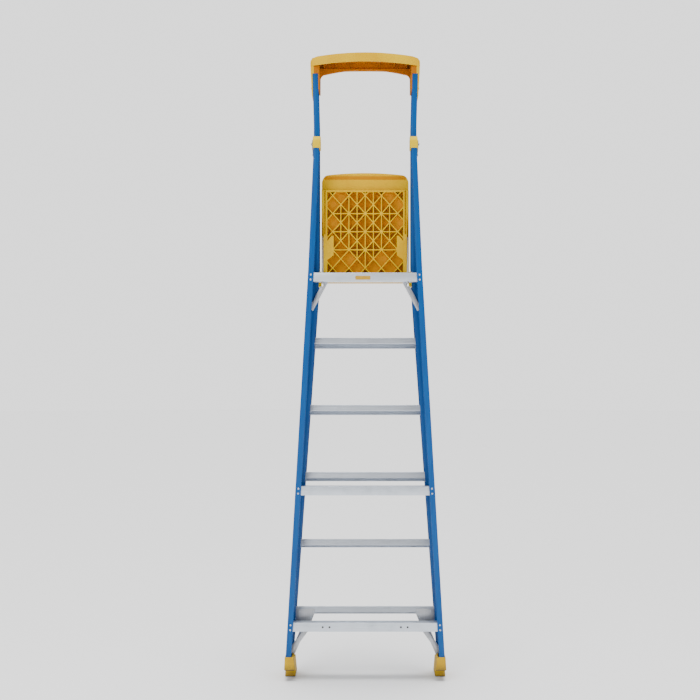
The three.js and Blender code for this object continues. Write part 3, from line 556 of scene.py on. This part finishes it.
def platform_piece():
    half, top, bottom, corner = DECK_HIGH.x, DECK_HIGH.z, DECK_LOW.z, DECK_CORNER
    arc = [(half - corner + corner * math.cos(a), top - DECK_BOW - corner + corner * math.sin(a))
           for a in (math.radians(7.0 * i) for i in range(13))]
    bow_half = arc[-1][0]
    crest = [(x, top - DECK_BOW * (x / bow_half) ** 2)
             for x in (bow_half * i / 8 for i in range(7, -1, -1))]
    right = arc + crest
    outline = [(-half, bottom), (half, bottom)] + right + [(-x, z) for x, z in reversed(right[:-1])]
    bm = prism(outline, "y", DECK_LOW.y, DECK_HIGH.y)
    round_edges(bm, 2.0, 3)
    past = DECK_HIGH.y + 5
    saddle = prism([(SADDLE_FLOOR, SADDLE_LOW_Z), (past, SADDLE_LOW_Z - 2),
                    (past, SADDLE_HIGH_Z + (past - SADDLE_FLOOR) * LIP_SLOPE),
                    (SADDLE_FLOOR, SADDLE_HIGH_Z)], "x", -half - 5, half + 5)
    slot_floor = DECK_LOW.y + 4
    head = LINK_HEAD_Z + LINK_ROOM
    head_y = LINK_HEAD_Y - LINK_ROOM
    slot_outline = [(slot_floor, bottom - 5), (past, bottom - 5),
                    (past, head + 4.0 * (past - head_y)), (head_y, head), (slot_floor, head)]
    hollow = block(-LATTICE_HALF - 0.1, LATTICE_HALF + 0.1, DECK_LOW.y + DECK_SKIN, past,
                   LATTICE_LOW_Z - 0.1, LATTICE_HIGH_Z + 0.1)
    bm = carve(bm, saddle)
    bm = carve(bm, hollow)
    for _, s in SIDES:
        bm = carve(bm, prism(slot_outline, "x", s * LINK_X - SLOT_HALF, s * LINK_X + SLOT_HALF))
        x0, x1 = sorted((s * LUG_ROOM_X, s * LINK_X))
        bm = carve(bm, block(x0, x1, DECK_LOW.y + 20.6, past, bottom - 5, LUG_ROOM_TOP_Z))
    # grooves along the sides, above the links
    for _, s in SIDES:
        x0, x1 = sorted(s * x for x in SIDE_GROOVE_X)
        bm = carve(bm, block(x0, x1, DECK_HIGH.y - SIDE_GROOVE_DEPTH, past, *SIDE_GROOVE_Z))
    # shallow grip grooves across the walking face
    grooves = [block(-GRIP_HALF, GRIP_HALF, DECK_LOW.y - 5, DECK_LOW.y + GRIP_DEPTH,
                     z, z + GRIP_WIDTH)
               for z in (GRIP_LOW_Z + GRIP_PITCH * i for i in range(GRIP_COUNT))]
    # plain panels in the lattice beside the links
    panels = [prism([(s * x, z) for x, z in LINK_PANEL], "y", DECK_HIGH.y - 4, DECK_HIGH.y - 0.4)
              for _, s in SIDES]
    bm = gather(carve(bm, *grooves), rib_lattice(), *panels)
    keep("platform_deck", bm, "platform", "platform", ["platform"], 25)


# ------------------------------------------------------------------ handrail


HANDRAIL_HALF = 205                 # where the crown and the bow are measured
HANDRAIL_TOP_Z, HANDRAIL_CROWN = 2686, 9
HANDRAIL_REAR_Y, HANDRAIL_BOW = 56.4, 24
HANDRAIL_RIB_X, HANDRAIL_RIB_FRONT_Y = (62, 128, 180), -79
HANDRAIL_BEAM_Y = (-30, 20)
HANDRAIL_RIB_HALF = 1.1


def crown(x):
    """Height of the handrail's top."""
    return HANDRAIL_TOP_Z - HANDRAIL_CROWN * (x / HANDRAIL_HALF) ** 2


def bow(x):
    """How far back the handrail's rear reaches."""
    return HANDRAIL_REAR_Y - HANDRAIL_BOW * (x / HANDRAIL_HALF) ** 2


def handrail_piece():
    bm = merged_copy("top_handrail")
    round_edges(bm, 2.6, 3, 28)
    keep("handrail_moulding", bm, "front_frame", "handrail", ["top_handrail"])
    ribs = []
    for x in HANDRAIL_RIB_X:
        low = 2668 - 14 * (x / 180) ** 2
        front, rear, under = HANDRAIL_RIB_FRONT_Y, bow(x) - 3, crown(x) - 3
        for s in (1, -1):
            rib = prism([(front, low), (rear, low + 4), (rear, under), (front, under)], "x",
                        s * x - HANDRAIL_RIB_HALF, s * x + HANDRAIL_RIB_HALF)
            round_edges(rib, 0.5, 2)
            ribs.append(rib)
    for y in HANDRAIL_BEAM_Y:
        beam = prism([(-200, 2666), (0, 2672), (200, 2666), (200, 2672), (0, 2678), (-200, 2672)],
                     "y", y - HANDRAIL_RIB_HALF, y + HANDRAIL_RIB_HALF)
        round_edges(beam, 0.5, 2)
        ribs.append(beam)
    keep("handrail_ribs", gather(*ribs), "front_frame", "handrail")


# ------------------------------------------------------------------ boots


SOLE_HEIGHT, SOLE_EDGE = 4, 2.5
PAD_COUNT, PAD_GAP, PAD_HEIGHT = 9, 2.2, 2.5


def boots():
    for stem, body in (("front_boot", "front_frame"), ("rear_boot", "rear_frame")):
        for side, _ in SIDES:
            node = f"{stem}_{side}"
            low, high = box_mm(node)
            bm = merged_copy(node)
            round_edges(bm, 2.2, 3)
            sole_top = low.z + SOLE_HEIGHT
            bmesh.ops.bisect_plane(bm, geom=bm.verts[:] + bm.edges[:] + bm.faces[:],
                                   plane_co=(0, 0, sole_top), plane_no=(0, 0, -1), clear_outer=True)
            bmesh.ops.holes_fill(bm, edges=[e for e in bm.edges if len(e.link_faces) == 1])
            keep(f"{node}_upper", bm, body, stem, [node])
            # a dark sole plate with cross pads, set in from the boot's sides
            x0, x1 = low.x + SOLE_EDGE, high.x - SOLE_EDGE
            y0, y1 = low.y + SOLE_EDGE, high.y - SOLE_EDGE
            pads = [block(x0, x1, y0, y1, low.z + 2, sole_top)]
            pitch = (high.y - low.y - 2 * SOLE_EDGE) / PAD_COUNT
            for i in range(PAD_COUNT):
                y = y0 + i * pitch
                pads.append(block(x0, x1, y, y + pitch - PAD_GAP, low.z, low.z + PAD_HEIGHT))
            for pad in pads:
                round_edges(pad, 0.5, 2)
            keep(f"{node}_sole", gather(*pads), body, "sole")


# ------------------------------------------------------------------ bolts, pins and rivets


def bolt_piece(node, body, head_radius, shank_radius, head_high, nut_span):
    """Replaces a plain CAD bolt with a domed head on a washer, its shank, and perhaps a nut."""
    low, high = box_mm(node)
    s = 1 if high.x > 0 else -1
    out, back = (high.x, low.x) if s > 0 else (-low.x, -high.x)
    y, z = (low.y + high.y) / 2, (low.z + high.z) / 2
    under = out - head_high
    parts = [turned_bar([(back, 0), (back, shank_radius - 0.6), (back + 0.8, shank_radius),
                         (under + 0.5, shank_radius), (under + 0.5, head_radius * 0.8),
                         (under + 0.55 * head_high, head_radius * 0.78),
                         (under + 0.85 * head_high, head_radius * 0.5), (out, 0)], y, z),
             turned_bar([(under - 0.1, 0), (under - 0.1, head_radius - 0.4),
                         (under + 0.3, head_radius), (under + 0.9, head_radius),
                         (under + 1.2, head_radius - 0.4), (under + 1.2, 0)], y, z)]
    if nut_span:
        parts.append(nut(nut_span[0], nut_span[1], head_radius, y, z))
    bm = gather(*parts)
    if s < 0:
        mirrored(bm)
    keep(f"{node}_piece", bm, body, "zinc", [node])


def bolts():
    for side, _ in SIDES:
        low, high = box_mm(f"handrail_bolt_{side}")
        tail = min(abs(low.x), abs(high.x))
        for stem, body, head_radius, shank_radius, head_high, nut_span in (
                ("hinge_bolt", "front_frame", 7.5, 5, 5, (210, 217)),
                ("hinge_fixing_upper", "front_frame", 7, 4, 4, (212, 218)),
                ("hinge_fixing_lower", "front_frame", 7, 4, 4, (212, 218)),
                ("handrail_bolt", "front_frame", 7, 3, 3, (tail + 1, tail + 6)),
                ("platform_pin", "front_frame", 10, 6, 5, None),
                ("link_upper_bolt", "platform", 6, 4, 0.9, (162, 166)),
                ("link_lower_bolt", "links", 6, 4, 0.8, None)):
            bolt_piece(f"{stem}_{side}", body, head_radius, shank_radius, head_high, nut_span)
        low, high = box_mm(f"link_lug_nut_{side}")
        keep(f"link_lug_nut_{side}_piece",
             nut(low.x, high.x, 6, (low.y + high.y) / 2, (low.z + high.z) / 2),
             "rear_frame", "zinc", [f"link_lug_nut_{side}"])


def outer_half(node, z):
    """How far from the middle a rail's outer face lies at a height."""
    co = [v.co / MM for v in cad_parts[node].data.vertices]
    above = min((c for c in co if c.z >= z), key=lambda c: (round(c.z - z), -abs(c.x)))
    below = min((c for c in co if c.z <= z), key=lambda c: (round(z - c.z), -abs(c.x)))
    if above.z - below.z < 1e-6:
        return abs(above.x)
    return abs(below.x) + (abs(above.x) - abs(below.x)) * (z - below.z) / (above.z - below.z)


BRACE_RIVET_DROPS, BRACE_RIVET_INSET = (9, 30), 13
GUSSET_RIVETS = ((226, 280), (235, 254), (284, 281))    # x and z of each
TREAD_RIVETS = ((-12, 14), (-46, 25))                   # y of each, and its drop below the tread
HOLE_SHADE_PLUG_X = (-181, -152, 152, 181)


def rivets():
    rear_face = box_mm("rear_rail_right")[1].y
    rear, front = [], []
    for level in ("top", "middle", "bottom"):
        top = box_mm(f"rear_brace_{level}")[1].z
        for drop in BRACE_RIVET_DROPS:
            z = top - drop
            x = outer_half("rear_rail_right", z) - BRACE_RIVET_INSET
            for _, s in SIDES:
                rear.append(dome((s * x, rear_face, z), 3.9, 2.2, (0, 1, 0)))
    gusset_face = box_mm("step_gusset_right")[1].y
    for x, z in GUSSET_RIVETS:
        for _, s in SIDES:
            front.append(dome((s * x, gusset_face, z), 3.6, 2.0, (0, 1, 0)))
    for i in range(1, TREAD_COUNT + 1):
        top = box_mm(f"step_{i}")[1].z
        for y, drop in TREAD_RIVETS:
            z = top - drop
            x = outer_half("front_rail_right", z)
            for _, s in SIDES:
                front.append(dome((s * (x + 0.2), y, z), 4.8, 2.4, (s, 0, 0.07)))
    low, high = box_mm("rear_brace_bottom")
    # painted shade: dark discs set into the bottom brace's holes stand in for the shade inside them
    hole_shade_discs = [dome((x, high.y - 1.6, (low.z + high.z) / 2), 4.3, 1.2, (0, 1, 0))
             for x in HOLE_SHADE_PLUG_X]
    keep("brace_hole_shades", gather(*hole_shade_discs), "rear_frame", "dark")
    keep("rear_rivets", gather(*rear), "rear_frame", "rivet")
    keep("front_rivets", gather(*front), "front_frame", "rivet")


softened_pieces()
treads()
platform_piece()
handrail_piece()
boots()
bolts()
rivets()

# ------------------------------------------------------------------ floor, light and camera


def floor():
    bm = bmesh.new()
    bmesh.ops.create_circle(bm, cap_ends=True, segments=96, radius=40)
    mesh = bpy.data.meshes.new("floor")
    bm.to_mesh(mesh)
    bm.free()
    r = Recipe("pale_floor", roughness=0.7)
    r.shader.inputs["Base Color"].default_value = (0.86, 0.86, 0.86, 1)
    mesh.materials.append(r.material)
    thing = bpy.data.objects.new("floor", mesh)
    bpy.context.scene.collection.objects.link(thing)


def lamp(name, place, aim, size, power):
    light = bpy.data.lights.new(name, "AREA")
    light.shape, light.size, light.energy = "SQUARE", size, power
    thing = bpy.data.objects.new(name, light)
    thing.location = place
    thing.rotation_euler = (Vector(aim) - Vector(place)).to_track_quat("-Z", "Y").to_euler()
    bpy.context.scene.collection.objects.link(thing)


def studio():
    world = bpy.data.worlds.new("studio")
    world.use_nodes = True
    sky = world.node_tree.nodes["Background"]
    sky.inputs["Color"].default_value = (1, 1, 1, 1)
    sky.inputs["Strength"].default_value = 0.45
    # the backdrop itself is brighter than the light it gives
    backdrop = world.node_tree.nodes.new("ShaderNodeBackground")
    backdrop.inputs["Color"].default_value = (1, 1, 1, 1)
    backdrop.inputs["Strength"].default_value = 1.75
    seen = world.node_tree.nodes.new("ShaderNodeLightPath").outputs["Is Camera Ray"]
    blend = world.node_tree.nodes.new("ShaderNodeMixShader")
    world.node_tree.links.new(seen, blend.inputs["Fac"])
    world.node_tree.links.new(sky.outputs["Background"], blend.inputs[1])
    world.node_tree.links.new(backdrop.outputs["Background"], blend.inputs[2])
    surface = world.node_tree.nodes["World Output"].inputs["Surface"]
    world.node_tree.links.new(blend.outputs["Shader"], surface)
    bpy.context.scene.world = world
    lamp("key", (2.6, 4.6, 4.2), (0, 0, 1.4), 2.5, 115)
    lamp("fill", (-3.4, 3.6, 2.4), (0, 0, 1.2), 3.0, 35)
    light = bpy.data.lights.new("overhead", "SUN")
    light.energy, light.angle = 5.2, math.radians(40)
    bpy.context.scene.collection.objects.link(bpy.data.objects.new("overhead", light))


def camera():
    lens = bpy.data.cameras.new("camera")
    lens.sensor_width = 36
    lens.lens = 50.76
    lens.shift_x, lens.shift_y = -0.0217, 0.0437
    thing = bpy.data.objects.new("camera", lens)
    thing.location = (0, 4.2834, 1.28)
    thing.rotation_euler = (math.pi / 2, 0, math.pi)
    bpy.context.scene.collection.objects.link(thing)
    bpy.context.scene.camera = thing


floor()
studio()
camera()
